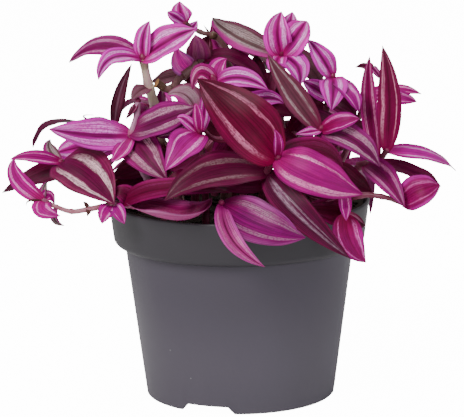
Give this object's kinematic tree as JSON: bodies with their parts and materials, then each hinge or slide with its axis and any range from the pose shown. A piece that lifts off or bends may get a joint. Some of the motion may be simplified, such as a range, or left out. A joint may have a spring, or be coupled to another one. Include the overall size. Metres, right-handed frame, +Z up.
{
  "type": "potted plant",
  "caption": "Trailing spiderwort with striped pink and purple leaves on leafy stems, in a tapered nursery pot",
  "frame": {"origin": "middle of the ground under the plant, level with the pot's foot", "axes": "+Z up, +X to the right as seen from the front, +Y to the back; the front of the plant faces -Y"},
  "size_m": [0.2087, 0.1564, 0.1832],
  "materials": {
    "pot": "fine satin",
    "soil": "rough crumbs",
    "leaves_orchid": "soft sheen",
    "leaves_olive": "soft sheen",
    "leaves_wine": "soft sheen",
    "leaves_magenta": "soft sheen",
    "leaves_mauve": "soft sheen"
  },
  "bodies": {
    "root": {"pot": "pot", "soil": "soil", "shoot_top_left": "leaves_orchid", "shoot_left": "leaves_orchid", "shoot_left_long": "leaves_olive", "shoot_left_back": "leaves_wine", "shoot_left_trailing": "leaves_magenta", "shoot_centre_left": "leaves_magenta", "shoot_centre_back": "leaves_mauve", "shoot_top_cut": "leaves_wine", "shoot_top_bud": "leaves_orchid", "shoot_top_right": "leaves_orchid", "shoot_right_top": "leaves_magenta", "shoot_centre_right": "leaves_olive", "shoot_right": "leaves_wine", "shoot_right_back": "leaves_magenta", "shoot_right_trailing": "leaves_magenta", "shoot_front": "leaves_wine", "shoot_front_low": "leaves_mauve", "shoot_front_right": "leaves_magenta", "shoot_middle": "leaves_orchid", "shoot_inner_left": "leaves_wine", "shoot_inner_middle": "leaves_wine", "shoot_inner_right": "leaves_wine", "shoot_back_1": "leaves_mauve", "shoot_back_2": "leaves_mauve", "shoot_back_3": "leaves_mauve", "shoot_back_4": "leaves_mauve", "shoot_back_5": "leaves_wine", "shoot_back_6": "leaves_wine", "shoot_back_7": "leaves_wine"}
  },
  "joints": []
}
